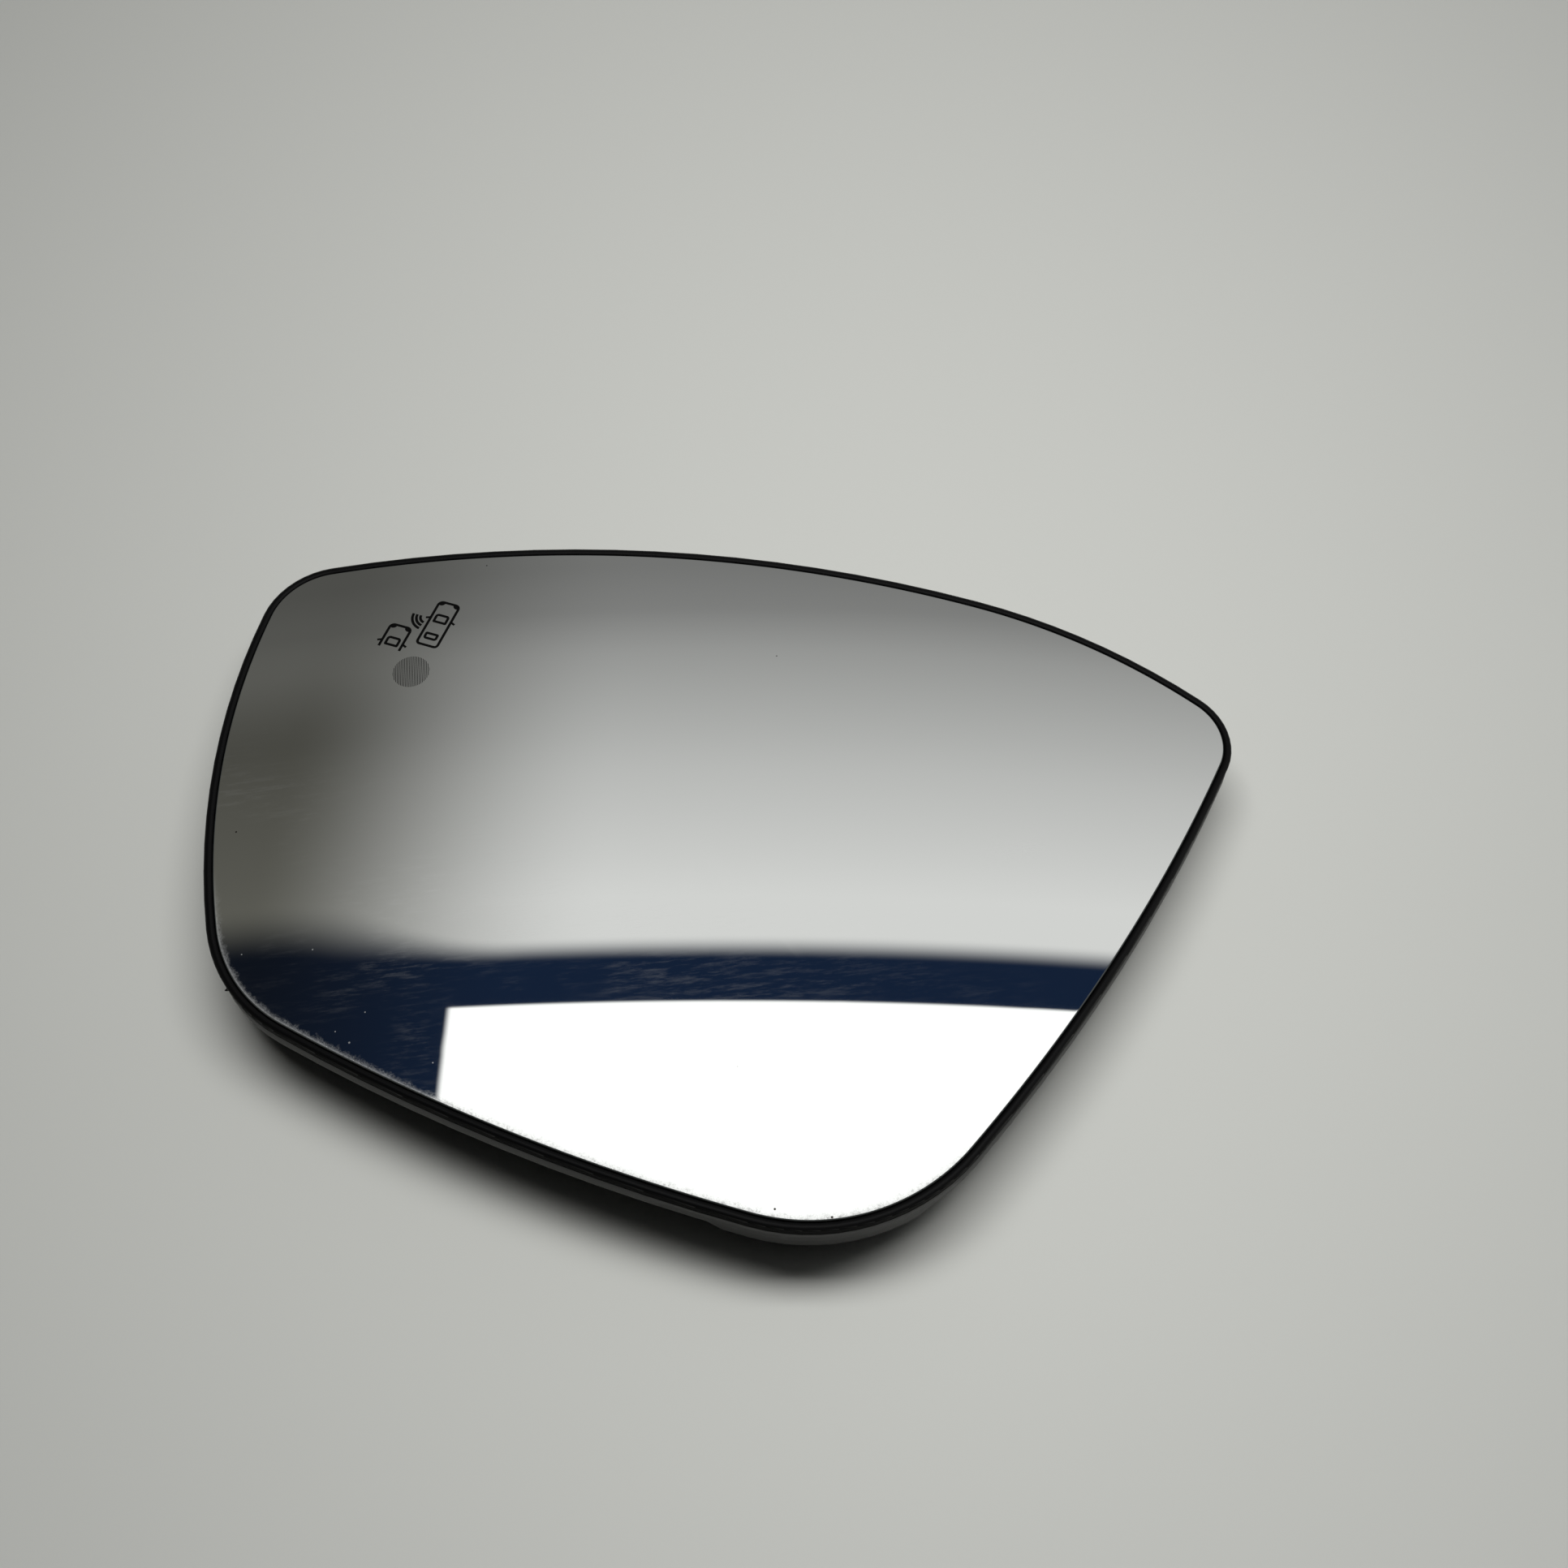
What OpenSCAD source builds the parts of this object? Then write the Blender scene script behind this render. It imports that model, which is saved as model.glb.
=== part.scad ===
// Heated door mirror glass with a blind spot indicator, lying glass up on the foot of its hub.
// Millimetres. The origin is on the hub's axis in the plane of its foot, X runs along the glass,
// Y up the glass as it hangs on a door, and Z out of the glass.

/* [Glass outline] */
// Where the left and bottom edges would meet without their rounding
lower_left = [-60.3, -57.7]; // [-120:0.1:120]
// Where the bottom and right edges would meet without their rounding
lower_right = [60.5, -61]; // [-120:0.1:120]
// Where the right and top edges would meet without their rounding
upper_right = [93.8, 54.5]; // [-120:0.1:120]
// Where the tighter right part of the top edge runs into its flatter left part
top_join = [39.2, 64.4]; // [-120:0.1:120]
// Where the top and left edges would meet without their rounding
upper_left = [-92.9, 25.7]; // [-120:0.1:120]
// How far the bottom edge bulges out
bottom_bulge = 5; // [3:0.1:8]
// How far the right edge bulges out
right_bulge = 5.1; // [3:0.1:8]
// How far the right part of the top edge bulges out
top_right_bulge = 3.1; // [2.5:0.1:4]
// How far the left edge bulges out
left_bulge = 7.2; // [4:0.1:9]
// Radius of the lower left corner
lower_left_r = 29.6; // [15:0.1:34]
// Radius of the lower right corner
lower_right_r = 36.2; // [20:0.1:42]
// Radius of the upper right corner
upper_right_r = 10.6; // [6:0.1:16]
// Radius of the upper left corner
upper_left_r = 13.1; // [8:0.1:20]

/* [Glass and heater] */
// Radius of the convex mirror surface
dome_r = 1260; // [900:10:2000]
// Place of the highest point of the dome, seen from above
apex = [12.2, -9.6]; // [-20:0.1:20]
// Thickness of the glass
glass_t = 2; // [1.6:0.1:3]
// Gap between the edge of the glass and the lip around it
glass_gap = 0.15; // [0.05:0.05:0.4]
// Thickness of the heater film
film_t = 0.35; // [0.2:0.05:0.6]
// How far the heater film ends inside the edge of the glass
film_inset = 3; // [1:0.1:8]
// Thickness of the foam tape that bonds the glass and heater to the plate
foam_t = 0.4; // [0.3:0.05:1]
// How far the foam tape ends inside the edge of the glass
foam_inset = 2; // [1:0.1:8]

/* [Plate and lip] */
// Thickness of the moulded plate
floor_t = 2; // [1.5:0.1:3]
// Width of the lip along the bottom edge
lip_bottom = 1.5; // [1.2:0.05:2.5]
// Width of the lip along the right edge
lip_right = 1.5; // [1.2:0.05:2.5]
// Width of the lip along the top edge
lip_top = 1.75; // [1.2:0.05:2.5]
// Width of the lip along the left edge
lip_left = 1.8; // [1.2:0.05:2.5]
// Height of the lip's rounded crown
crown_h = 0.5; // [0.3:0.05:0.8]
// Depth of the smooth band below the crown, from the level of the glass
band_h = 2.4; // [1.5:0.1:3]
// Depth and half width of the parting groove under the band
groove = 0.2; // [0.1:0.05:0.3]
// Depth of the skirt's lower edge, from the level of the glass
skirt_h = 6; // [5.2:0.1:8]
// How far the skirt leans out below the groove
skirt_flare = 0.25; // [0:0.05:0.5]
// Thickness of the skirt
skirt_t = 1.2; // [0.8:0.1:1.3]
// How much deeper the skirt is at the heel by the lower right corner
heel_h = 3; // [1:0.1:5]
// How far the heel stands back from both faces of the skirt
heel_inset = 0.1; // [0.05:0.05:0.3]
// Left and right end of the heel, seen from above
heel_x = [35, 64]; // [20:1:70]
// Inset of the stiffening bead that follows the outline
bead_inset = 10; // [6:1:12]
// Thickness of the stiffening beads
bead_t = 1.2; // [0.8:0.1:2]
// Height of the stiffening beads
bead_h = 1; // [0.6:0.1:1.1]
// How far the webs end inside the edge of the glass
web_gap = 1; // [0.6:0.1:3]
// Number of outline chords from one web to the next
web_step = 6; // [4:1:12]

/* [Hub] */
// Height from the foot of the hub to the plate at the top of its dome
hub_h = 13.5; // [12:0.5:18]
// Bore radius that takes the adjuster's drum
hub_bore_r = 30; // [26:0.5:31]
// Wall of the hub
hub_wall = 2.5; // [2:0.1:3.5]
// Number of snap fingers round the hub
finger_count = 8; // [6:1:10]
// Width of the slots between the fingers
slot_w = 2.5; // [1.5:0.1:4]
// Height of the slots above the foot
slot_h = 8; // [6.5:0.1:9]
// How far the snap bead stands into the bore
snap_depth = 0.8; // [0.4:0.1:1.2]
// Height of the snap bead above the foot, to its middle
snap_z = 1.8; // [1.6:0.1:2.5]
// Diameter of the spring wire round the fingers
wire_d = 1.2; // [0.8:0.1:1.6]
// Height of the spring wire above the foot
wire_z = 4.2; // [3.5:0.1:5.5]
// Angle left open between the ends of the spring wire
wire_open = 24; // [16:1:40]
// Length of the wire's turned out ends
wire_ear = 5; // [3:0.5:7]
// Reach of the gusset ribs from the hub's axis
rib_reach = 50; // [46:1:54]
// Thickness of the ribs
rib_t = 1.4; // [1:0.1:2]
// Radius of the ring rib that joins the gussets
ring_rib_r = 38.6; // [37:0.1:39]

/* [Heater terminals] */
// Distance from the ring rib to the middle between the two terminals
terminal_gap = 7.4; // [5.4:0.1:11.4]
// Distance between the two terminals
terminal_pitch = 22; // [18:1:30]
// Width of a terminal's blade
blade_w = 6.3; // [4.8:0.1:6.3]
// Thickness of the terminals' brass strip
blade_t = 0.8; // [0.5:0.1:1]
// Length of a terminal's blade
blade_h = 8; // [6:0.5:9]
// Length of the base that is riveted to the plate
base_l = 8.6; // [8:0.1:9]
// Diameter of the rivets' shanks
rivet_d = 3; // [2:0.1:3.2]
// Diameter of the rivets' heads
rivet_head_d = 5; // [4.5:0.1:5.2]
// Thickness of the rivets' lower heads
rivet_head_t = 0.7; // [0.4:0.1:1]

/* [Indicator] */
// Middle of the indicator, behind the symbol in the glass
indicator = [-62, 19]; // [-64:0.5:-58]
// Width and length of the indicator's housing
housing = [19, 26]; // [18.5:0.5:27]
// Wall of the housing
housing_wall = 1.4; // [1:0.1:1.6]
// Radius of the housing's upright edges
housing_r = 2; // [1:0.1:3]
// Height of the seat for the housing's flange, above the foot
seat_z = 9.6; // [9.4:0.1:9.7]
// Thickness of the flange
flange_t = 1.4; // [1:0.1:1.6]
// Width of the flange outside the housing
flange_w = 1.5; // [1:0.1:2]
// Thickness of the foam seal between the housing and the glass
seal_t = 0.5; // [0.36:0.02:0.7]
// Width and length of the light chamber behind the symbol
symbol_chamber = [14.4, 13.4]; // [10:0.1:14.6]
// Width and length of the light chamber behind the disc
disc_chamber = [8.4, 7.8]; // [7:0.1:9]
// Middle of the disc's chamber from the middle of the housing
disc_offset = [2.9, -6.7]; // [-7:0.1:4]
// Middle of the symbol's chamber from the middle of the housing
symbol_offset = [-0.2, 4.9]; // [-1:0.1:5.2]
// Thickness of the light diffuser
diffuser_t = 0.8; // [0.4:0.1:1.2]
// Width of the ledge that carries the diffuser
diffuser_ledge = 0.7; // [0.6:0.05:0.8]
// Height of the circuit board's underside above the foot
board_z = 7.2; // [7:0.1:7.4]
// Thickness of the circuit board
board_t = 1; // [0.8:0.1:1.2]
// Height of the housing's lower edge, which the cover closes
housing_z = 3.6; // [3.4:0.1:4]
// Thickness of the cover
cover_t = 1.2; // [0.8:0.1:1.6]
// Length of the connector socket outside the housing
socket_l = 10; // [9.5:0.5:11]
// Width and height of the socket's cavity
socket_bore = [8.4, 4.8]; // [4.6:0.1:9]
// Wall of the socket
socket_wall = 1.2; // [1:0.1:1.4]
// Distance between the two contact pins
pin_spacing = 3; // [2:0.1:4]
// Side of the square contact pins
pin_w = 0.64; // [0.5:0.02:0.8]
// Length of the contact pins inside the socket
pin_l = 4.6; // [3:0.1:5]
// Diameter of the two housing screws' shanks
screw_d = 2.2; // [1.8:0.1:2.4]
// Diameter of the screws' heads
screw_head_d = 4.2; // [4:0.1:4.6]
// Height of the screws' heads
screw_head_h = 1.3; // [1:0.1:1.6]
// Length of the screws' shanks
screw_l = 4; // [3:0.1:4]
// Wall of the screw bosses
boss_wall = 1.5; // [1.2:0.1:2]

/* [Fit] */
// Clearance around parts that drop into each other
clearance = 0.15; // [0.05:0.05:0.3]
// Clearance around a wire, rivet, screw or pin in its hole
snug = 0.05; // [0.02:0.01:0.1]

/* [Small details] */
// Chamfer round the foot of the hub
foot_chamfer = 0.6; // [0.2:0.1:1]
// Height of the flat on the snap bead
snap_land = 0.2; // [0.1:0.1:0.6]
// Height of the gussets' outer ends above the foot, below the top of the hub
rib_end_drop = 4; // [3:0.5:5]
// Extra width and length of the flat seat under a terminal's base
terminal_seat_margin = [1, 2]; // [0.4:0.1:3]
// Depth of that seat under the plate's own surface
terminal_seat_depth = 0.4; // [0.2:0.1:0.6]
// Chamfer at the tip of a terminal's blade
blade_chamfer = 1; // [0.5:0.1:1.5]
// Diameter of the latch hole through a blade
blade_hole_d = 1.8; // [1.2:0.1:2.2]
// How much narrower a rivet's lower head is at its face
rivet_taper = 1; // [0.2:0.1:1.5]
// Radius of the upright edges inside the housing
inner_r = 1; // [0.6:0.1:1.4]
// Distance of the pins' upright legs from the housing's inner wall
pin_tail = 2.2; // [1.6:0.1:3]
// Width, depth and height of a lamp's body
led_body = [3.5, 2.8, 1.1]; // [0.8:0.1:4]
// Bottom and top diameter of a lamp's lens
led_lens_d = [2.4, 2]; // [1.4:0.1:2.6]
// Height of a lamp with its lens
led_h = 1.5; // [1.2:0.1:2]
// Length, width and height of a resistor
resistor = [3.2, 1.6, 0.6]; // [0.4:0.1:3.6]
// Place of the resistors from the middle of the board
resistor_at = [-4, 4]; // [-5:0.5:5]
// Width and height of the lip that centres the cover
cover_lip = 1; // [0.6:0.1:1.4]
// Diameter of the cover's posts under the board
post_d = 2; // [1.5:0.1:2.4]
// Distance of the posts' middles from the lip's outside
post_inset = 1.5; // [1.2:0.1:2]
// How much narrower a screw's head is at its face
screw_taper = 0.8; // [0.2:0.1:1.2]
// Length, width and depth of the cross recess in a screw's head
cross_recess = [2.4, 0.5, 0.8]; // [0.4:0.05:2.6]
// Spare depth of a screw's hole beyond its tip
screw_spare = 0.5; // [0.2:0.1:1]

/* [Hidden] */
$fn = 64;
// Facets of the full domes, which are far larger than the part
dome_fn = 256;
// Largest gap between an outline's arc and its chords
chord_gap = 0.03;
glass_back = glass_t;
film_back = glass_back + film_t;
foam_back = film_back + foam_t;
plate_back = foam_back + floor_t;
plate_mid = foam_back + floor_t / 2;
apex_z = hub_h + plate_back;
// More than any height in the part
tall = 3 * apex_z;
hub_r = hub_bore_r + hub_wall;
lip = [lip_bottom, lip_right, lip_top, lip_top, lip_left];

// Plane geometry of the outline

function heading(v) = atan2(v.y, v.x);
function unit(v) = v / norm(v);
function full_turn(a) = a - 360 * floor(a / 360);
function even(o) = [o, o, o, o, o];

// Circle of an edge from p to q that bulges out by s, as [centre, radius]
function bulged(p, q, s) = let (
    l = norm(q - p),
    r = (l * l / 4 + s * s) / (2 * s),
    out = [q.y - p.y, p.x - q.x] / l
) [(p + q) / 2 - out * (r - s), r];

// Bulge that lets an edge from p to q leave p in the direction of an angle
function smooth_bulge(p, q, angle) = norm(q - p) / 2 * tan(full_turn(heading(q - p) - angle) / 2);

// Point near p where two circles meet
function meet(c, r, d, s, p) = let (
    gap = norm(d - c),
    along = (r * r - s * s + gap * gap) / (2 * gap),
    across = sqrt(max(0, r * r - along * along)),
    u = unit(d - c),
    a = c + u * along + [-u.y, u.x] * across,
    b = c + u * along - [-u.y, u.x] * across
) norm(a - p) < norm(b - p) ? a : b;

// Fillet of radius r between two edges, as [centre, radius, tangent point, tangent point]
function fillet(e, f, corner, r) = let (c = meet(e[0], e[1] - r, f[0], f[1] - r, corner))
    [c, r, e[0] + unit(c - e[0]) * e[1], f[0] + unit(c - f[0]) * f[1]];

// Arc about c with radius r from p to q, as [centre, radius, first angle, angle turned]
function arc(c, r, p, q) = [c, r, heading(p - c), full_turn(heading(q - c) - heading(p - c))];

top_right_edge = bulged(upper_right, top_join, top_right_bulge);
join_heading = heading(top_join - top_right_edge[0]) + 90;
edges = [
    bulged(lower_left, lower_right, bottom_bulge),
    bulged(lower_right, upper_right, right_bulge),
    top_right_edge,
    bulged(top_join, upper_left, smooth_bulge(top_join, upper_left, join_heading)),
    bulged(upper_left, lower_left, left_bulge)
];

// Nine arcs of the outline set out by o, one value for each edge
function outline_arcs(o) = let (
    e = [for (k = [0:4]) [edges[k][0], edges[k][1] + o[k]]],
    ll = fillet(e[4], e[0], lower_left, lower_left_r + (o[4] + o[0]) / 2),
    lr = fillet(e[0], e[1], lower_right, lower_right_r + (o[0] + o[1]) / 2),
    ur = fillet(e[1], e[2], upper_right, upper_right_r + (o[1] + o[2]) / 2),
    ul = fillet(e[3], e[4], upper_left, upper_left_r + (o[3] + o[4]) / 2),
    join = e[2][0] + unit(e[2][0] - e[3][0]) * e[2][1]
) [
    arc(ll[0], ll[1], ll[2], ll[3]), arc(e[0][0], e[0][1], ll[3], lr[2]),
    arc(lr[0], lr[1], lr[2], lr[3]), arc(e[1][0], e[1][1], lr[3], ur[2]),
    arc(ur[0], ur[1], ur[2], ur[3]), arc(e[2][0], e[2][1], ur[3], join),
    arc(e[3][0], e[3][1], join, ul[2]), arc(ul[0], ul[1], ul[2], ul[3]),
    arc(e[4][0], e[4][1], ul[3], ll[2])
];

// Chords that each arc is drawn with, the same at every offset
arc_steps = [for (a = outline_arcs(even(0))) ceil(a[3] / (2 * acos(1 - chord_gap / a[1])))];

function outline(o) = let (arcs = outline_arcs(o)) [
    for (k = [0:len(arcs) - 1], i = [0:arc_steps[k] - 1])
        let (a = arcs[k], angle = a[2] + a[3] * i / arc_steps[k])
        a[0] + a[1] * [cos(angle), sin(angle)]
];

// Height of the dome that lies at a depth under the mirror surface
function dome_z(p, depth) = let (reach = norm(p - apex))
    apex_z - dome_r + sqrt((dome_r - depth) * (dome_r - depth) - reach * reach);

// Shared shapes

// Everything under the dome at a depth
module under_dome(depth) {
    translate([apex.x, apex.y, apex_z - dome_r])
        rotate([90, 0, 0])
            sphere(r = dome_r - depth, $fn = dome_fn);
}

// Shell between two depths
module between_domes(top, bottom) {
    difference() {
        under_dome(top);
        under_dome(bottom);
    }
}

// Domed sheet inside the outline set out by o
module domed_sheet(o, top, bottom) {
    intersection() {
        linear_extrude(tall) polygon(outline(o));
        between_domes(top, bottom);
    }
}

module rounded_block(size, r, z0, z1) {
    translate([0, 0, z0])
        linear_extrude(z1 - z0)
            union() {
                square([size.x - 2 * r, size.y], center = true);
                square([size.x, size.y - 2 * r], center = true);
                for (x = [-1, 1], y = [-1, 1])
                    translate([x * (size.x / 2 - r), y * (size.y / 2 - r)])
                        circle(r);
            }
}

module at_indicator() {
    translate([indicator.x, indicator.y, 0]) children();
}

module at_terminals() {
    for (y = [-1, 1])
        translate([terminal_mid.x, terminal_mid.y + y * terminal_pitch / 2, 0])
            children();
}

module at_screws() {
    for (s = [-1, 1])
        translate([s * screw_x, s * screw_y, 0])
            children();
}

// Glass, heater film and foam tape

module mirror_glass() {
    color("#b9bdbd")
        domed_sheet(even(0), 0, glass_back);
}

window = housing + [2, 2] * clearance;

module indicator_window() {
    at_indicator() rounded_block(window, housing_r + clearance, 0, tall);
}

module rivet_window(d) {
    at_terminals() cylinder(d = d, h = tall);
}

module heater_film() {
    color("#b98b52")
        difference() {
            domed_sheet(even(-film_inset), glass_back, film_back);
            indicator_window();
        }
}

module bonding_foam() {
    color("#2b2b2d")
        difference() {
            domed_sheet(even(-foam_inset), film_back, foam_back);
            indicator_window();
            rivet_window(rivet_head_d + 2 * clearance);
        }
}

// Backing plate

// Section of the lip and skirt: share of the lip's width, extra width and depth
lip_section = concat(
    [for (t = [0:30:180]) [(1 - cos(t)) / 2, glass_gap * (1 + cos(t)) / 2, crown_h * (1 - sin(t))]],
    [
        [1, 0, band_h],
        [1, -groove, band_h + groove],
        [1, 0, band_h + 2 * groove],
        [1, skirt_flare, skirt_h],
        [1, skirt_flare - skirt_t, skirt_h],
        [1, skirt_flare - skirt_t, plate_mid],
        [0, glass_gap, plate_mid]
    ]
);

// Ring swept round the outline with the lip's section, each point hung from the dome
module lip_and_skirt() {
    rings = [
        for (s = lip_section)
            [for (p = outline([for (w = lip) s[0] * w + s[1]])) [p.x, p.y, dome_z(p, s[2])]]
    ];
    n = len(rings[0]);
    m = len(rings);
    polyhedron(
        points = [for (ring = rings) each ring],
        faces = [
            for (j = [0:m - 1], i = [0:n - 1])
                let (
                    a = j * n + i,
                    b = j * n + (i + 1) % n,
                    c = (j + 1) % m * n + i,
                    d = (j + 1) % m * n + (i + 1) % n
                )
                each [[a, b, d], [a, d, c]]
        ]
    );
}

// Deeper stretch of the skirt with sloping ends
module heel() {
    skirt_out = [for (w = lip) w + skirt_flare - heel_inset];
    foot_z = dome_z([heel_x[1], lower_right.y], skirt_h + heel_h);
    intersection() {
        between_domes(skirt_h - skirt_t / 2, skirt_h + heel_h);
        linear_extrude(tall)
            difference() {
                polygon(outline(skirt_out));
                polygon(outline(skirt_out - even(skirt_t - 2 * heel_inset)));
            }
        rotate([90, 0, 0])
            linear_extrude(tall * 2)
                polygon([
                    [heel_x[0] + heel_h, foot_z - heel_h], [heel_x[1] - heel_h, foot_z - heel_h],
                    [heel_x[1] + 3 * heel_h, foot_z + 3 * heel_h],
                    [heel_x[0] - 3 * heel_h, foot_z + 3 * heel_h]
                ]);
    }
}

// Bead that follows the outline, with short webs from it towards the lip
module outline_bead() {
    inner = outline(even(-bead_inset - bead_t / 2));
    outer = outline(even(-web_gap));
    intersection() {
        between_domes(plate_mid, plate_back + bead_h);
        linear_extrude(tall)
            union() {
                difference() {
                    polygon(outline(even(-bead_inset)));
                    polygon(outline(even(-bead_inset - bead_t)));
                }
                for (i = [0:web_step:len(inner) - 1]) {
                    side = unit([outer[i].y - inner[i].y, inner[i].x - outer[i].x]) * bead_t / 2;
                    polygon([inner[i] + side, outer[i] + side, outer[i] - side, inner[i] - side]);
                }
            }
    }
}

module hub_wall_ring() {
    rotate_extrude($fn = 128)
        polygon([
            [hub_bore_r, tall], [hub_r, tall], [hub_r, foot_chamfer], [hub_r - foot_chamfer, 0],
            [hub_bore_r, 0], [hub_bore_r - snap_depth, snap_z - snap_depth],
            [hub_bore_r - snap_depth, snap_z + snap_land],
            [hub_bore_r, snap_z + snap_land + snap_depth]
        ]);
}

module hub_cuts() {
    for (i = [0:finger_count - 1])
        rotate([0, 0, (i + 0.5) * 360 / finger_count])
            translate([hub_bore_r - 2 * snap_depth, -slot_w / 2, -1])
                cube([hub_wall + 4 * snap_depth, slot_w, slot_h + 1]);
    translate([0, 0, wire_z])
        rotate_extrude($fn = 128)
            translate([hub_r, 0]) circle(d = wire_d + 2 * snug, $fn = 32);
}

indicator_heading = full_turn(heading(indicator));
// Angle kept free of gussets on both sides of the indicator
gusset_free = 25;
gusset_headings = [for (a = [0:30:330]) if (abs(a - indicator_heading) > gusset_free) a];

module gussets() {
    for (a = gusset_headings)
        rotate([90, 0, a])
            translate([0, 0, -rib_t / 2])
                linear_extrude(rib_t)
                    polygon([
                        [hub_bore_r + hub_wall / 2, slot_h + rib_t], [hub_r, slot_h + rib_t],
                        [rib_reach, hub_h - rib_end_drop], [rib_reach, tall],
                        [hub_bore_r + hub_wall / 2, tall]
                    ]);
}

module ring_rib() {
    translate([0, 0, hub_h - 2 * bead_h - rib_t])
        difference() {
            cylinder(r = ring_rib_r + bead_t / 2, h = tall, $fn = 128);
            translate([0, 0, -1])
                cylinder(r = ring_rib_r - bead_t / 2, h = tall + 2, $fn = 128);
        }
}

// Low cross on the floor of the hub
module hub_cross() {
    for (a = [45, 135])
        rotate([0, 0, a])
            translate([-hub_r, -bead_t / 2, hub_h - bead_h])
                cube([2 * hub_r, bead_t, tall]);
}

// Middle between the two terminals
terminal_mid = [ring_rib_r + terminal_gap, 0];
// Height of the flat seat under a terminal's base
terminal_seat_z = dome_z(terminal_mid + [base_l, terminal_pitch], plate_back) - terminal_seat_depth;

module terminal_seats() {
    at_terminals()
        rounded_block([base_l, blade_w] + terminal_seat_margin, inner_r, terminal_seat_z, tall);
}

flange = housing + [2, 2] * flange_w;
boss_r = screw_d / 2 + boss_wall;
screw_x = flange.x / 2 - boss_r;
screw_y = flange.y / 2 + screw_d / 2 + boss_wall / 3;

module indicator_seat() {
    at_indicator() {
        rounded_block(flange, housing_r + flange_w, seat_z, tall);
        at_screws() translate([0, 0, seat_z]) cylinder(r = boss_r, h = tall);
    }
}

// Room under the seat for the housing's flange and ears
module flange_space() {
    at_indicator() {
        rounded_block(flange + [2, 2] * clearance, housing_r + flange_w, 0, seat_z);
        at_screws() cylinder(r = boss_r + clearance, h = seat_z);
    }
}

module backing_plate() {
    color("#17181a") {
        lip_and_skirt();
        heel();
        difference() {
            union() {
                domed_sheet(lip / 2, foam_back, plate_back);
                intersection() {
                    under_dome(plate_mid);
                    union() {
                        hub_wall_ring();
                        gussets();
                        ring_rib();
                        hub_cross();
                        terminal_seats();
                        indicator_seat();
                    }
                }
                outline_bead();
            }
            hub_cuts();
            indicator_window();
            flange_space();
            rivet_window(rivet_d + 2 * snug);
            at_indicator() at_screws()
                cylinder(d = screw_d + 2 * snug, h = seat_z - flange_t + screw_l + screw_spare);
        }
    }
}

// Open ring of spring wire with its ends turned out, which are ground a little thinner
module hub_spring_wire() {
    ear_d = wire_d - 2 * snug;
    ear_back = ear_d / 3;
    color("#8d9296")
        translate([0, 0, wire_z]) {
            rotate([0, 0, wire_open / 2 - 90])
                rotate_extrude(angle = 360 - wire_open, $fn = 128)
                    translate([hub_r, 0]) circle(d = wire_d, $fn = 64);
            for (s = [-1, 1])
                rotate([0, 0, s * wire_open / 2 - 90])
                    translate([hub_r, s * ear_back, 0])
                        rotate([0, 90, 0]) cylinder(d = ear_d, h = wire_ear);
        }
}

// Heater terminals

module terminal() {
    inner = -base_l / 2;
    color("#c8b27a")
        difference() {
            union() {
                translate([inner, -blade_w / 2, terminal_seat_z - blade_t])
                    cube([base_l, blade_w, blade_t]);
                translate([inner + base_l - blade_t, 0, terminal_seat_z - blade_t])
                    rotate([90, 0, 90])
                        linear_extrude(blade_t)
                            polygon([
                                [-blade_w / 2, blade_t], [-blade_w / 2, blade_chamfer - blade_h],
                                [blade_chamfer - blade_w / 2, -blade_h],
                                [blade_w / 2 - blade_chamfer, -blade_h],
                                [blade_w / 2, blade_chamfer - blade_h], [blade_w / 2, blade_t]
                            ]);
            }
            cylinder(d = rivet_d + 2 * snug, h = tall);
            translate([0, 0, terminal_seat_z - 0.6 * blade_h])
                rotate([0, 90, 0])
                    cylinder(d = blade_hole_d, h = base_l);
        }
}

module heater_terminal_upper() {
    translate([terminal_mid.x, terminal_mid.y + terminal_pitch / 2, 0]) terminal();
}

module heater_terminal_lower() {
    translate([terminal_mid.x, terminal_mid.y - terminal_pitch / 2, 0]) terminal();
}

module terminal_rivets() {
    color("#9b9da0") {
        foot_z = terminal_seat_z - blade_t - rivet_head_t;
        // Thickness of the flat upper head, which stays inside the foam tape's layer
        top_t = foam_t / 2;
        for (y = [-0.5, 0.5]) {
            p = terminal_mid + [0, y * terminal_pitch];
            top_z = dome_z(p, (film_back + foam_back) / 2) + top_t / 2;
            translate([p.x, p.y, foot_z]) {
                cylinder(d = rivet_d, h = top_z - foot_z);
                cylinder(d1 = rivet_head_d - rivet_taper, d2 = rivet_head_d, h = rivet_head_t);
            }
            translate([p.x, p.y, top_z - top_t])
                cylinder(d = rivet_head_d, h = top_t);
        }
    }
}

// Indicator

inner_housing = housing - [2, 2] * housing_wall;
ledge_z = board_z + board_t;
socket = [socket_l + housing_wall, socket_bore.x + 2 * socket_wall];
socket_mid_z = seat_z - socket_wall - socket_bore.y / 2;

module light_chambers(grow, z0) {
    translate([symbol_offset.x, symbol_offset.y, 0])
        rounded_block(symbol_chamber + [2, 2] * grow, inner_r, z0, tall);
    translate([disc_offset.x, disc_offset.y, 0])
        rounded_block(disc_chamber + [2, 2] * grow, inner_r, z0, tall);
}

// Places a socket part, with X out of the housing's right wall
module at_socket() {
    translate([housing.x / 2 - housing_wall, 0, socket_mid_z]) children();
}

module at_pins() {
    at_socket()
        for (y = [-0.5, 0.5])
            translate([0, y * pin_spacing, 0])
                children();
}

// Level of the housing's flat front, parallel to the glass behind the indicator and clear of its bow
tilt_run = indicator - apex;
front_tilt = asin(norm(tilt_run) / dome_r);
front_bow = (housing * housing) / (8 * dome_r);

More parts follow.
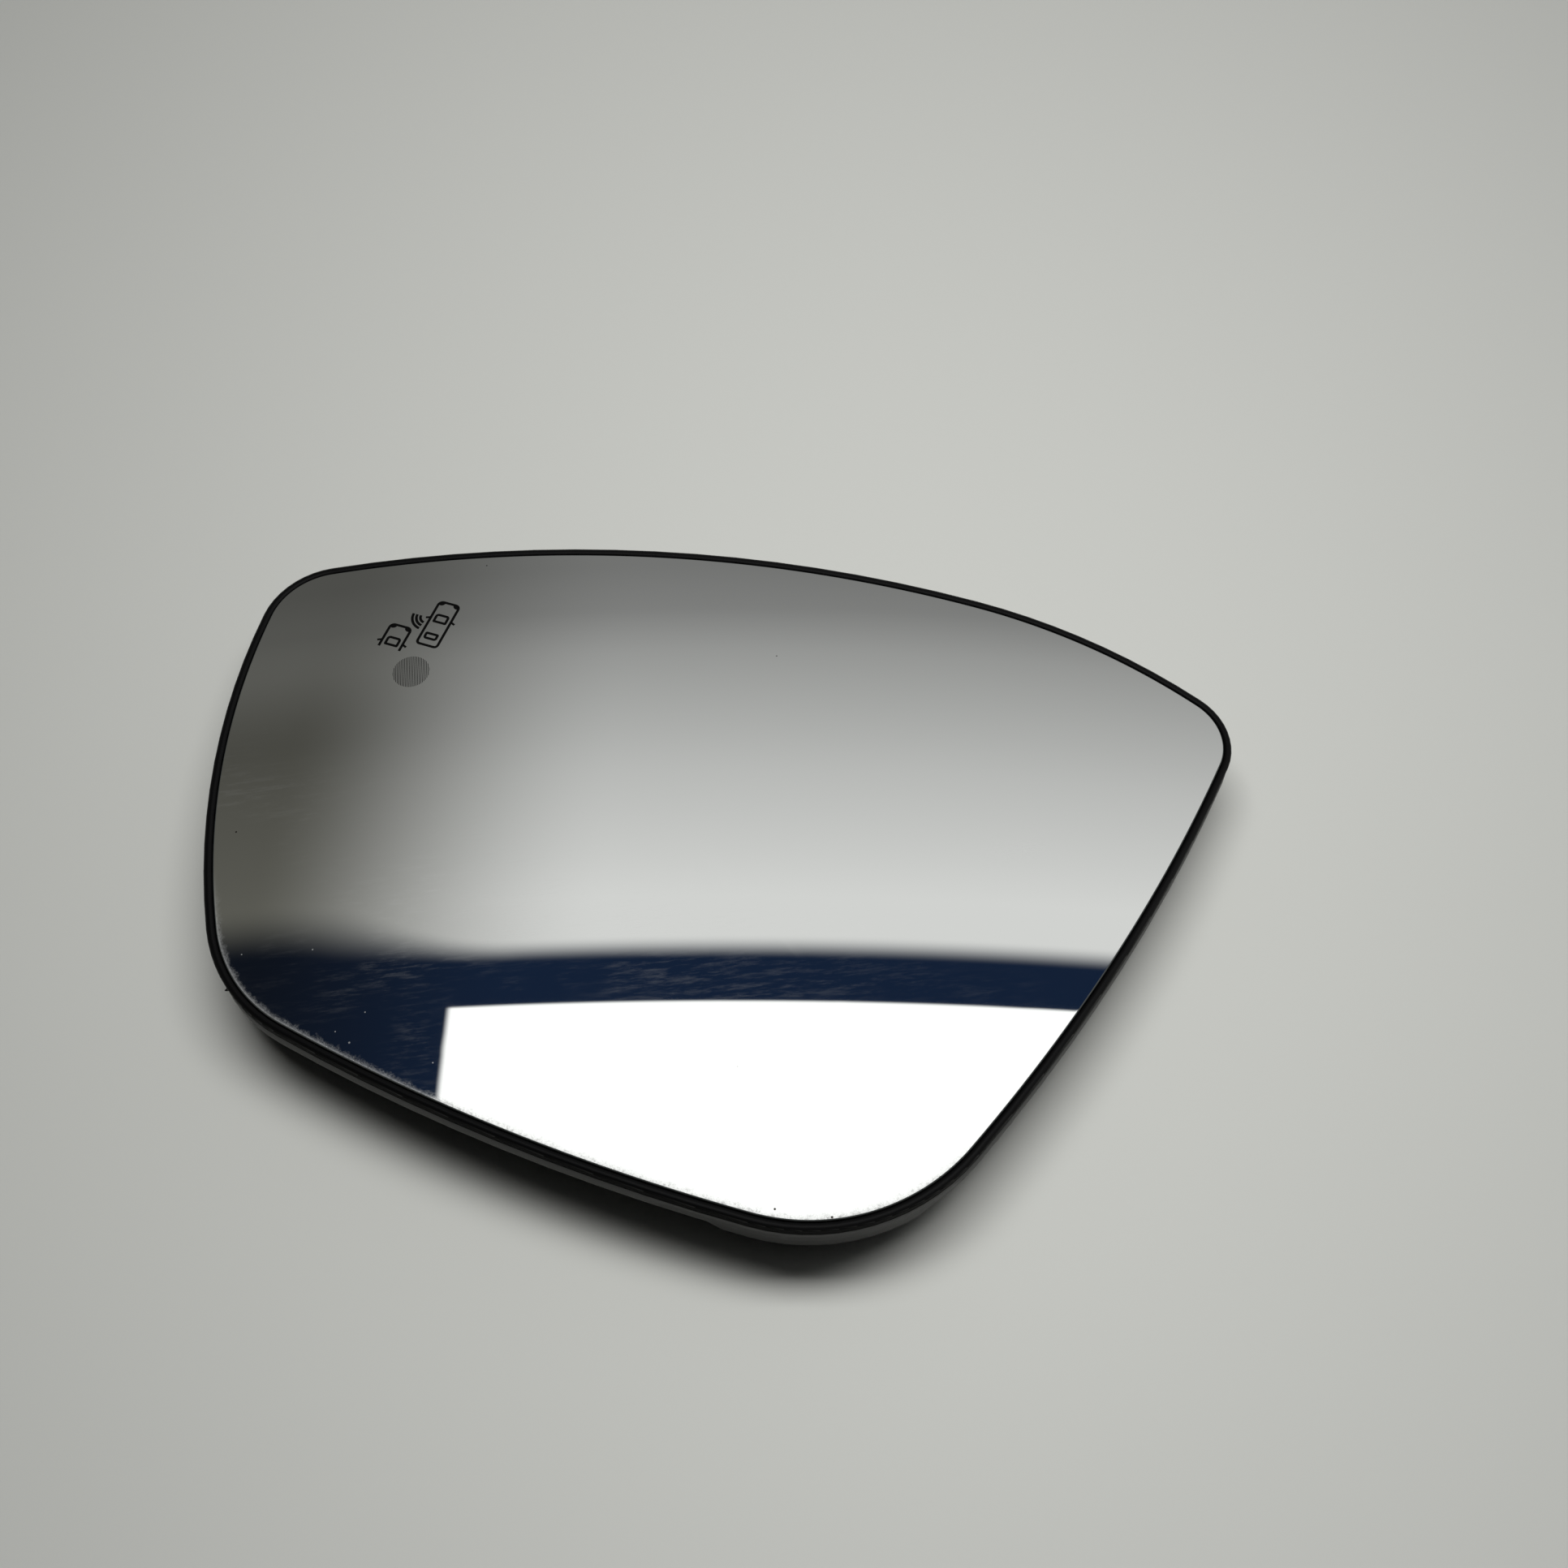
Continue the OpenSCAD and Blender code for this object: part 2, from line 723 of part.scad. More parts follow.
// Everything behind a plane at a depth under the housing's front
module behind_front(depth) {
    translate([0, 0, dome_z(indicator, glass_back + seal_t + front_bow + depth)])
        rotate(front_tilt, [-tilt_run.y, tilt_run.x, 0])
            translate([-housing.x, -housing.y, -tall])
                cube([2 * housing.x, 2 * housing.y, tall]);
}

module indicator_housing() {
    color("#202124")
        at_indicator()
            difference() {
                union() {
                    intersection() {
                        behind_front(0);
                        rounded_block(housing, housing_r, housing_z, tall);
                    }
                    rounded_block(flange, housing_r + flange_w, seat_z - flange_t, seat_z);
                    at_screws() translate([0, 0, seat_z - flange_t]) cylinder(r = boss_r, h = flange_t);
                    at_socket()
                        translate([0, -socket.y / 2, -socket_bore.y / 2 - socket_wall])
                            cube([socket.x, socket.y, socket_bore.y + 2 * socket_wall]);
                }
                rounded_block(inner_housing, inner_r, 0, ledge_z);
                rounded_block(window, housing_r + clearance, 0, housing_z);
                light_chambers(0, ledge_z - 1);
                difference() {
                    light_chambers(diffuser_ledge, ledge_z);
                    behind_front(diffuser_t);
                }
                at_socket()
                    translate([housing_wall, -socket_bore.x / 2, -socket_bore.y / 2])
                        cube([socket_l + 1, socket_bore.x, socket_bore.y]);
                at_pins()
                    translate([-1, -pin_w / 2 - snug, -pin_w / 2 - snug])
                        cube([housing_wall + 2, pin_w + 2 * snug, pin_w + 2 * snug]);
                at_screws() cylinder(d = screw_d + 2 * snug, h = tall);
            }
}

module indicator_seal() {
    color("#3a3a3c")
        difference() {
            intersection() {
                between_domes(glass_back, glass_back + seal_t);
                at_indicator() rounded_block(housing, housing_r, 0, tall);
            }
            at_indicator() light_chambers(diffuser_ledge, 0);
        }
}

module light_diffuser() {
    color("#e9e7df")
        at_indicator()
            difference() {
                intersection() {
                    behind_front(0);
                    light_chambers(diffuser_ledge - clearance, ledge_z);
                }
                behind_front(diffuser_t);
            }
}

module circuit_board() {
    color("#1f6b3a")
        at_indicator()
            difference() {
                rounded_block(inner_housing - [2, 2] * clearance, inner_r - clearance, board_z, ledge_z);
                at_pins()
                    translate([pin_w / 2 - pin_tail, 0, 0])
                        cylinder(d = pin_w * sqrt(2) + 2 * snug, h = tall);
            }
}

// Lamp with a pale body and a raised lens, standing on the board
module led() {
    translate([0, 0, ledge_z]) {
        translate([-led_body.x / 2, -led_body.y / 2, 0]) cube(led_body);
        cylinder(d1 = led_lens_d[0], d2 = led_lens_d[1], h = led_h);
    }
}

module symbol_led() {
    color("#f4efd8")
        at_indicator() translate([symbol_offset.x, symbol_offset.y, 0]) led();
}

module disc_led() {
    color("#f4efd8")
        at_indicator() translate([disc_offset.x, disc_offset.y, 0]) led();
}

module board_resistors() {
    color("#2a2a2c")
        at_indicator()
            for (y = [-1, 1])
                translate([
                    resistor_at.x - resistor.x / 2, y * resistor_at.y - resistor.y / 2, board_z - resistor.z
                ])
                    cube(resistor);
}

// Two bent pins that run from the board into the socket
module contact_pins() {
    color("#c8b27a")
        at_indicator()
            at_pins()
                translate([-pin_tail, -pin_w / 2, -pin_w / 2]) {
                    cube([pin_tail + housing_wall + pin_l, pin_w, pin_w]);
                    cube([pin_w, pin_w, ledge_z - socket_mid_z + pin_w / 2]);
                }
}

module indicator_cover() {
    lip_size = inner_housing - [2, 2] * clearance;
    color("#26272a")
        at_indicator() {
            rounded_block(housing, housing_r, housing_z - cover_t, housing_z);
            difference() {
                rounded_block(lip_size, inner_r - clearance, housing_z - cover_t / 2, housing_z + cover_lip);
                rounded_block(lip_size - [2, 2] * cover_lip, inner_r - clearance, housing_z, tall);
            }
            post = lip_size / 2 - [1, 1] * post_inset;
            for (x = [-1, 1], y = [-1, 1])
                translate([x * post.x, y * post.y, housing_z - cover_t / 2])
                    cylinder(d = post_d, h = board_z - housing_z + cover_t / 2);
        }
}

module indicator_screws() {
    color("#8d9296")
        at_indicator()
            at_screws()
                translate([0, 0, seat_z - flange_t - screw_head_h])
                    difference() {
                        union() {
                            cylinder(d1 = screw_head_d - screw_taper, d2 = screw_head_d, h = screw_head_h);
                            translate([0, 0, screw_head_h / 2])
                                cylinder(d = screw_d, h = screw_head_h / 2 + screw_l);
                        }
                        for (a = [0, 90])
                            rotate([0, 0, a])
                                translate([-cross_recess.x / 2, -cross_recess.y / 2, -cross_recess.z])
                                    cube([cross_recess.x, cross_recess.y, 2 * cross_recess.z]);
                    }
}

mirror_glass();
heater_film();
bonding_foam();
backing_plate();
hub_spring_wire();
heater_terminal_upper();
heater_terminal_lower();
terminal_rivets();
indicator_housing();
indicator_seal();
light_diffuser();
circuit_board();
symbol_led();
disc_led();
board_resistors();
contact_pins();
indicator_cover();
indicator_screws();
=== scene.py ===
# Looks of a heated door mirror glass that lies glass up on the foot of its hub
import math

import bmesh
import bpy
from mathutils import Matrix, Vector


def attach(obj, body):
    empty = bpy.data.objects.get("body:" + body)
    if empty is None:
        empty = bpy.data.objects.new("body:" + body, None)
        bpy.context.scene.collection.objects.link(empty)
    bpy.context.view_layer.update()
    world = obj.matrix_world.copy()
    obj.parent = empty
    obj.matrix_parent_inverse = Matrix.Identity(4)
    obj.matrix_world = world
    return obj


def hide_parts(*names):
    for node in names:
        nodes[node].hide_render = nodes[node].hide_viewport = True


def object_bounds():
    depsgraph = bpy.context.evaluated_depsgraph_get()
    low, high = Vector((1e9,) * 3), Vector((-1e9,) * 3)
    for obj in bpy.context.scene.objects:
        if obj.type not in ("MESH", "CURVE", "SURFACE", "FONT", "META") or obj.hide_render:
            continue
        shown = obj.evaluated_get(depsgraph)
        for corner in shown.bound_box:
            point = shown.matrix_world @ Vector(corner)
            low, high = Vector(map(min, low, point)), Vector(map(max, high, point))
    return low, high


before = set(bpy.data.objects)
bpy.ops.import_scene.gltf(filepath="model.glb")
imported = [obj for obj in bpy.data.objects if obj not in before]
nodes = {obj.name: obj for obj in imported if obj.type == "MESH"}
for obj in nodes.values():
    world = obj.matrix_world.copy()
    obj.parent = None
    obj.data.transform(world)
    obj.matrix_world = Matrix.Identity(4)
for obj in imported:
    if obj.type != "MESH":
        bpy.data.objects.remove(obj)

MM = 0.001
cad_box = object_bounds()

# Outline of the glass and its dome, in millimetres, as in the part's source
CORNERS = {
    "lower_left": Vector((-60.3, -57.7)),
    "lower_right": Vector((60.5, -61)),
    "upper_right": Vector((93.8, 54.5)),
    "top_join": Vector((39.2, 64.4)),
    "upper_left": Vector((-92.9, 25.7)),
}
BULGES = {"bottom": 5, "right": 5.1, "top_right": 3.1, "left": 7.2}
CORNER_RADII = (29.6, 36.2, 10.6, 13.1)
DOME_R = 1260
APEX = Vector((12.2, -9.6))
APEX_Z = 18.25
GLASS_T = 2
ARRIS = 0.22
DOME_CENTRE = Vector((APEX.x, APEX.y, APEX_Z - DOME_R)) * MM
ON_FACE = 1e-6


def heading(v):
    return math.atan2(v.y, v.x)


def bulged(p, q, rise):
    """Centre and radius of an edge from p to q that bulges out."""
    chord = q - p
    radius = (chord.length_squared / 4 + rise * rise) / (2 * rise)
    out = Vector((chord.y, -chord.x)).normalized()
    return (p + q) / 2 - out * (radius - rise), radius


def outline_edges():
    """Circles of the glass's five edges."""
    c = CORNERS
    top_right = bulged(c["upper_right"], c["top_join"], BULGES["top_right"])
    leaving = heading(c["top_join"] - top_right[0]) + math.pi / 2
    run = c["upper_left"] - c["top_join"]
    turn = (heading(run) - leaving) % (2 * math.pi)
    return [
        bulged(c["lower_left"], c["lower_right"], BULGES["bottom"]),
        bulged(c["lower_right"], c["upper_right"], BULGES["right"]),
        top_right,
        bulged(c["top_join"], c["upper_left"], run.length / 2 * math.tan(turn / 2)),
        bulged(c["upper_left"], c["lower_left"], BULGES["left"]),
    ]


def fillet(e, f, corner, r):
    """Centre of a corner's rounding and the points where it starts and ends."""
    c, d, radius, other = e[0], f[0], e[1] - r, f[1] - r
    gap = (d - c).length
    along = (radius**2 - other**2 + gap**2) / (2 * gap)
    across = math.sqrt(radius**2 - along**2)
    u = (d - c) / gap
    side = Vector((-u.y, u.x)) * across
    both = (c + u * along + side, c + u * along - side)
    centre = min(both, key=lambda p: (p - corner).length)
    ends = [o[0] + (centre - o[0]).normalized() * o[1] for o in (e, f)]
    return centre, r, ends[0], ends[1]


def outline(inset, chord_gap=0.004):
    """Points of the outline, a constant distance inside the edge of the glass."""
    full = outline_edges()
    arcs, counts = [], []
    for shift in (0, inset):
        e = [(c, r - shift) for c, r in full]
        pairs = (
            (4, 0, "lower_left"), (0, 1, "lower_right"),
            (1, 2, "upper_right"), (3, 4, "upper_left"),
        )
        ll, lr, ur, ul = [
            fillet(e[a], e[b], CORNERS[name], r - shift)
            for (a, b, name), r in zip(pairs, CORNER_RADII)
        ]
        join = e[2][0] + (e[2][0] - e[3][0]).normalized() * e[2][1]
        arcs = [
            ll, (*e[0], ll[3], lr[2]), lr, (*e[1], lr[3], ur[2]), ur,
            (*e[2], ur[3], join), (*e[3], join, ul[2]), ul, (*e[4], ul[3], ll[2]),
        ]
        turns = [(heading(q - o) - heading(p - o)) % (2 * math.pi) for o, r, p, q in arcs]
        if shift == 0:
            counts = [
                math.ceil(t / (2 * math.acos(1 - chord_gap / a[1]))) for a, t in zip(arcs, turns)
            ]
    points = []
    for (o, r, p, q), turn, count in zip(arcs, turns, counts):
        for i in range(count):
            a = heading(p - o) + turn * i / count
            points.append(o + r * Vector((math.cos(a), math.sin(a))))
    return points


def on_dome(p, depth=0.0):
    """Place in metres of a point of the plan, at a depth under the dome, both in millimetres."""
    reach = (p - APEX).length
    z = APEX_Z - DOME_R + math.sqrt((DOME_R - depth) ** 2 - reach**2)
    return Vector((p.x, p.y, z)) * MM


def dome_normal(p):
    return (p - DOME_CENTRE).normalized()


# Pieces

def add_piece(name, bm, materials, replaced=()):
    """Makes a mesh a piece of the object."""
    mesh = bpy.data.meshes.new(name)
    bm.to_mesh(mesh)
    bm.free()
    for m in materials:
        mesh.materials.append(m)
    piece = bpy.data.objects.new(name, mesh)
    bpy.context.scene.collection.objects.link(piece)
    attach(piece, "root")
    if replaced:
        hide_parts(*replaced)
    return piece


def add_loop(bm, points):
    verts = [bm.verts.new(p) for p in points]
    return [bm.edges.new((verts[i - 1], verts[i])) for i in range(len(verts))]


def make_glass(mirror, ground_edge):
    """Domed glass with a ground edge, ring by ring from the middle out and back in."""
    bm = bmesh.new()
    rim_distance = bm.verts.layers.float.new("rim_distance")
    deepest = 8.0
    insets = [deepest, 6.5, 5.2, 4, 3, 2.2, 1.5, 0.9, 0.5, ARRIS]
    shares = [0.03] + [i / 16 for i in range(1, 16)]
    innermost = outline(deepest)

    def ring(points, depth, distance):
        edges = add_loop(bm, [on_dome(p, depth) for p in points])
        for e in edges:
            for v in e.verts:
                v[rim_distance] = distance * MM
        return edges

    def face_rings(depth):
        middle = [
            ring([p * s for p in innermost], depth, deepest + 50 * (1 - s)) for s in shares
        ]
        return middle + [ring(outline(i), depth, i) for i in insets]

    front = face_rings(0)
    back = face_rings(GLASS_T)
    wall = [ring(outline(0), ARRIS, 0), ring(outline(0), GLASS_T - ARRIS, 0)]
    loops = front + wall + back[::-1]
    for a, b in zip(loops, loops[1:]):
        bmesh.ops.bridge_loops(bm, edges=a + b)
    bmesh.ops.edgeloop_fill(bm, edges=front[0])
    bmesh.ops.edgeloop_fill(bm, edges=back[0])
    bmesh.ops.recalc_face_normals(bm, faces=bm.faces)
    for f in bm.faces:
        f.smooth = True
        if all(v[rim_distance] < (ARRIS + 0.01) * MM for v in f.verts):
            f.material_index = 1
    bm.normal_update()
    normals = []
    for v in bm.verts:
        up = dome_normal(v.co)
        reach = (v.co - DOME_CENTRE).length
        on_front = abs(reach - DOME_R * MM) < ON_FACE
        on_back = abs(reach - (DOME_R - GLASS_T) * MM) < ON_FACE
        normals.append(up if on_front else -up if on_back else v.normal.copy())
    glass = add_piece("glass", bm, [mirror, ground_edge], ["mirror_glass"])
    glass.data.normals_split_custom_set_from_vertices(normals)
    for v in glass.data.vertices:
        v.co.z = min(v.co.z, cad_box[1][2])
    return glass


def inside(p, loop):
    """Whether a point of the plan lies inside a closed loop."""
    hits = 0
    for a, b in zip(loop, loop[-1:] + loop[:-1]):
        if (a.y > p.y) != (b.y > p.y):
            hits += p.x < a.x + (p.y - a.y) / (b.y - a.y) * (b.x - a.x)
    return hits % 2 == 1


# How far below the dome the rim's band and its skirt begin, in millimetres
BAND_FROM = 0.38
SKIRT_FROM = 2.95


def make_plate(finishes):
    """The moulded plate with smooth shading and finishes for crown, band, skirt and back; the
    band's finish is darker as painted shade and the skirt's paler as painted light.
    """
    bm = bmesh.new()
    bm.from_mesh(nodes["backing_plate"].data)
    bmesh.ops.remove_doubles(bm, verts=bm.verts, dist=1e-6)
    edge = [p * MM for p in outline(0, chord_gap=0.05)]
    for f in bm.faces:
        at = f.calc_center_median()
        depth = on_dome(at.xy / MM).z - at.z
        if inside(at.xy, edge):
            f.material_index = 3
        # Faces deep down the side get the skirt's paler finish (painted light); the band above
        # them gets the darker one (painted shade)
        elif depth > SKIRT_FROM * MM:
            f.material_index = 2
        elif depth > BAND_FROM * MM:
            f.material_index = 1
    plate = add_piece("plate", bm, finishes, ["backing_plate"])
    plate.data.shade_smooth()
    plate.data.set_sharp_from_angle(angle=math.radians(38))
    return plate


def make_burr(finish):
    """Small bent sliver torn up at the lip's outer edge by the lower left corner."""
    bm = bmesh.new()
    made = bmesh.ops.create_cone(
        bm, cap_ends=True, segments=7, radius1=0.34, radius2=0.12, depth=0.5
    )
    lean = Matrix.Rotation(math.radians(-125), 4, "Z") @ Matrix.Rotation(math.radians(62), 4, "Y")
    place = on_dome(Vector((-60.35, -57.3)), 0.0006) / MM
    shape = Matrix.Translation(place) @ lean @ Matrix.Diagonal((0.35, 1.0, 1.0, 1))
    bmesh.ops.transform(bm, matrix=Matrix.Scale(MM, 4) @ shape, verts=made["verts"])
    bmesh.ops.bevel(
        bm, geom=bm.edges[:], affect="EDGES", offset=0.03 * MM, segments=1, profile=0.5,
        material=-1,
    )
    return add_piece("lip_burr", bm, [finish])


# Symbol and disc in the glass, drawn flat in millimetres and then laid on the dome
LINE = 0.55
PRINT_HEIGHT = 0.006
PRINT_T = 0.004


def split_all(bm, at, normal, **options):
    """Splits a whole drawing along a plane."""
    every = bm.verts[:] + bm.edges[:] + bm.faces[:]
    bmesh.ops.bisect_plane(bm, geom=every, plane_co=at, plane_no=normal, **options)


def closed_band(bm, points, width=LINE):
    """Band of a line's width inside a closed outline."""
    face = bm.faces.new([bm.verts.new((*p, 0)) for p in points])
    face.normal_update()
    bmesh.ops.inset_region(
        bm, faces=[face], thickness=width, use_boundary=True, use_even_offset=True
    )
    bmesh.ops.delete(bm, geom=[face], context="FACES_ONLY")


def rounded_outline(low, high, r, steps=5):
    """Points of a rectangle with rounded corners, r holding a radius for each of them."""
    corners = (
        (high.x - r[0], high.y - r[0], r[0], 0), (low.x + r[1], high.y - r[1], r[1], 90),
        (low.x + r[2], low.y + r[2], r[2], 180), (high.x - r[3], low.y + r[3], r[3], 270),
    )
    points = []
    for x, y, radius, start in corners:
        for i in range(steps + 1):
            a = math.radians(start + 90 * i / steps)
            points.append((x + radius * math.cos(a), y + radius * math.sin(a)))
    return points


def patch(bm, place, size, turn=0, segments=4):
    """Small filled bar or oval."""
    radius, start = (math.sqrt(0.5), 45) if segments == 4 else (0.5, 0)
    made = bmesh.ops.create_circle(bm, cap_ends=True, segments=segments, radius=radius)
    spin = Matrix.Rotation(math.radians(start), 4, "Z")
    shape = Matrix.Diagonal((*size, 1, 1))
    turned = Matrix.Rotation(math.radians(turn), 4, "Z")
    at = Matrix.Translation((*place, 0)) @ turned @ shape @ spin
    bmesh.ops.transform(bm, matrix=at, verts=made["verts"])


def car_from_above(bm, low, high, window_top, cut=None):
    """Outline of a car seen from above, with its lamps, front window and mirrors."""
    body = bmesh.new()
    closed_band(body, rounded_outline(low, high, (1.15, 1.15, 0.95, 0.95)))
    if cut is not None:
        split_all(body, (0, cut, 0), (0, -1, 0), clear_outer=True)
    mesh = bpy.data.meshes.new("car")
    body.to_mesh(mesh)
    body.free()
    bm.from_mesh(mesh)
    bpy.data.meshes.remove(mesh)
    middle = (low.x + high.x) / 2
    window = (Vector((middle - 1.52, window_top - 2.25)), Vector((middle + 1.52, window_top)))
    closed_band(bm, rounded_outline(*window, (0.7, 0.7, 0.35, 0.35)))
    for side in (-1, 1):
        lamp = (middle + side * 1.5, high.y - 0.72)
        patch(bm, lamp, (1.3, 0.82), turn=-side * 28, segments=12)
        door_mirror = (middle + side * (high.x - middle + 0.22), window_top - 1.45)
        patch(bm, door_mirror, (0.95, 0.46), turn=-side * 22)


def blind_spot_symbol(bm):
    """A car ahead, the front of a car beside it, and three arcs between them."""
    car_from_above(bm, Vector((-61.42, 19.15)), Vector((-56.5, 30.35)), window_top=27.2)
    rear_window = (Vector((-60.5, 20.78)), Vector((-57.55, 22.5)))
    closed_band(bm, rounded_outline(*rear_window, (0.4, 0.4, 0.65, 0.65)))
    car_from_above(bm, Vector((-68.18, 14.5)), Vector((-63.2, 22.4)), window_top=19.35, cut=16.5)
    centre = Vector((-61.75, 25.75, 0))
    for r in (1.45, 2.25, 3.05):
        ends = [bm.verts.new(centre + Vector((-r - side * LINE / 2, 0, 0))) for side in (-1, 1)]
        edge = bm.edges.new(ends)
        bmesh.ops.spin(
            bm, geom=[*ends, edge], cent=centre, axis=(0, 0, 1), angle=math.radians(82),
            steps=12, space=Matrix(),
        )


def hatched_disc(bm, centre=Vector((-58.95, 12.78)), r=3.6, pitch=0.3, bar=0.12):
    """Round patch of fine slanting bars."""
    middle = Vector((*centre, 0))
    made = bmesh.ops.create_circle(bm, cap_ends=True, segments=48, radius=r)
    bmesh.ops.translate(bm, vec=middle, verts=made["verts"])
    slant = Vector((math.cos(math.radians(28)), math.sin(math.radians(28)), 0))
    count = int(r / pitch)
    for i in range(-count, count + 1):
        for side in (-0.5, 0.5):
            split_all(bm, middle + slant * (i * pitch + side * bar), slant)
    gaps = []
    for f in bm.faces:
        along = (f.calc_center_median() - middle).dot(slant)
        if abs(along - round(along / pitch) * pitch) > bar / 2:
            gaps.append(f)
    bmesh.ops.delete(bm, geom=gaps, context="FACES")


def lay_on_glass(name, draw, finish):
    """Draws a flat print and lays it on the glass as a thin closed layer."""
    bm = bmesh.new()
    draw(bm)
    for y in range(9, 31):
        split_all(bm, (0, y, 0), (0, 1, 0))
    for v in bm.verts:
        v.co = on_dome(v.co.xy, -PRINT_HEIGHT)
    bm.normal_update()
    for f in bm.faces:
        if f.normal.z < 0:
            f.normal_flip()
    bmesh.ops.solidify(bm, geom=bm.faces[:], thickness=PRINT_T * MM)
    return add_piece(name, bm, [finish])


# Materials

def link(tree, source, target):
    tree.links.new(source, target)


def new_node(tree, kind, **values):
    n = tree.nodes.new(kind)
    for key, value in values.items():
        if key in n.inputs:
            n.inputs[key].default_value = value
        else:
            setattr(n, key, value)
    return n


def material(name, color, roughness, metallic=0.0):
    m = bpy.data.materials.new(name)
    m.use_nodes = True
    shader = m.node_tree.nodes["Principled BSDF"]
    shader.inputs["Base Color"].default_value = (*color, 1)
    shader.inputs["Roughness"].default_value = roughness
    shader.inputs["Metallic"].default_value = metallic
    return m, m.node_tree, shader


def own_place(tree):
    """The piece's own coordinates."""
    return tree.nodes.new("ShaderNodeTexCoord").outputs["Object"]


def relief(tree, shader, height, strength, depth):
    """Dents a finish by a height."""
    bump = new_node(tree, "ShaderNodeBump", Strength=strength, Distance=depth)
    link(tree, height, bump.inputs["Height"])
    link(tree, bump.outputs["Normal"], shader.inputs["Normal"])


def grain_group():
    """Fine moulded grain: a height, and a roughness that varies a little."""
    g = bpy.data.node_groups.new("moulded_grain", "ShaderNodeTree")
    for name, value in (("Size", 0.0004), ("Roughness", 0.4), ("Spread", 0.08)):
        s = g.interface.new_socket(name=name, in_out="INPUT", socket_type="NodeSocketFloat")
        s.default_value = value
    for name in ("Height", "Roughness"):
        g.interface.new_socket(name=name, in_out="OUTPUT", socket_type="NodeSocketFloat")
    start, end = g.nodes.new("NodeGroupInput"), g.nodes.new("NodeGroupOutput")
    place = g.nodes.new("ShaderNodeTexCoord")
    scale = new_node(g, "ShaderNodeMath", operation="DIVIDE")
    scale.inputs[0].default_value = 1
    link(g, start.outputs["Size"], scale.inputs[1])
    fine = new_node(g, "ShaderNodeTexNoise", Detail=3.0, Roughness=0.6)
    link(g, place.outputs["Object"], fine.inputs["Vector"])
    link(g, scale.outputs[0], fine.inputs["Scale"])
    broad = new_node(g, "ShaderNodeTexNoise", Scale=60.0, Detail=3.0)
    link(g, place.outputs["Object"], broad.inputs["Vector"])
    spread = new_node(g, "ShaderNodeMath", operation="MULTIPLY_ADD")
    centre = new_node(g, "ShaderNodeMath", operation="SUBTRACT")
    centre.inputs[1].default_value = 0.5
    link(g, broad.outputs["Fac"], centre.inputs[0])
    link(g, centre.outputs[0], spread.inputs[0])
    link(g, start.outputs["Spread"], spread.inputs[1])
    link(g, start.outputs["Roughness"], spread.inputs[2])
    link(g, fine.outputs["Fac"], end.inputs["Height"])
    link(g, spread.outputs[0], end.inputs["Roughness"])
    return g


GRAIN = grain_group()


def grained(name, color, roughness, size=0.0004, strength=0.4, spread=0.1, shine=0.5):
    """Moulded finish with a fine grain."""
    m, tree, shader = material(name, color, roughness)
    shader.inputs["Specular IOR Level"].default_value = shine
    grain = tree.nodes.new("ShaderNodeGroup")
    grain.node_tree = GRAIN
    grain.inputs["Size"].default_value = size
    grain.inputs["Roughness"].default_value = roughness
    grain.inputs["Spread"].default_value = spread
    link(tree, grain.outputs["Roughness"], shader.inputs["Roughness"])
    relief(tree, shader, grain.outputs["Height"], strength, 0.00001)
    return m


def value_node(tree, operation, a, b=None, c=None, clamp=False):
    """Maths node whose inputs are numbers or sockets."""
    n = new_node(tree, "ShaderNodeMath", operation=operation, use_clamp=clamp)
    for i, value in enumerate((a, b, c)):
        if isinstance(value, (int, float)):
            n.inputs[i].default_value = value
        elif value is not None:
            link(tree, value, n.inputs[i])
    return n.outputs[0]


def times(tree, *factors):
    """Product of numbers and sockets."""
    total = factors[0]
    for factor in factors[1:]:
        total = value_node(tree, "MULTIPLY", total, factor)
    return total


def strongest(tree, masks):
    total = masks[0]
    for mask in masks[1:]:
        total = value_node(tree, "MAXIMUM", total, mask)
    return total


def fade(tree, value, start, end, low=0.0, high=1.0):
    """Smooth change from low to high as a value goes from start to end."""
    n = new_node(tree, "ShaderNodeMapRange", interpolation_type="SMOOTHSTEP")
    link(tree, value, n.inputs["Value"])
    for key, number in (("From Min", start), ("From Max", end), ("To Min", low), ("To Max", high)):
        n.inputs[key].default_value = number
    return n.outputs[0]


def blend(tree, factor, a, b):
    """Colour between two colours or sockets."""
    n = new_node(tree, "ShaderNodeMix", data_type="RGBA")
    link(tree, factor, n.inputs["Factor"])
    for key, value in (("A", a), ("B", b)):
        if isinstance(value, tuple):
            n.inputs[key].default_value = (*value, 1)
        else:
            link(tree, value, n.inputs[key])
    return n.outputs["Result"]


def fitted(tree, place, size, turn, at=(0, 0, 0)):
    """Coordinates turned on the plan, in which an area of a given size and place is one unit."""
    fit = new_node(
        tree, "ShaderNodeMapping", vector_type="TEXTURE", Location=at, Rotation=(0, 0, turn),
        Scale=size,
    )
    link(tree, place, fit.inputs["Vector"])
    return fit.outputs["Vector"]


def length_of(tree, vector):
    n = new_node(tree, "ShaderNodeVectorMath", operation="LENGTH")
    link(tree, vector, n.inputs[0])
    return n.outputs["Value"]


def noise(tree, place, scale, detail=3.0, roughness=0.5, stretch=(1, 1, 1), turn=0.0):
    """Noise, stretched and turned on the plan if asked."""
    if stretch != (1, 1, 1):
        place = fitted(tree, place, stretch, turn)
    n = new_node(tree, "ShaderNodeTexNoise", Scale=scale, Detail=detail, Roughness=roughness)
    link(tree, place, n.inputs["Vector"])
    return n.outputs["Fac"]


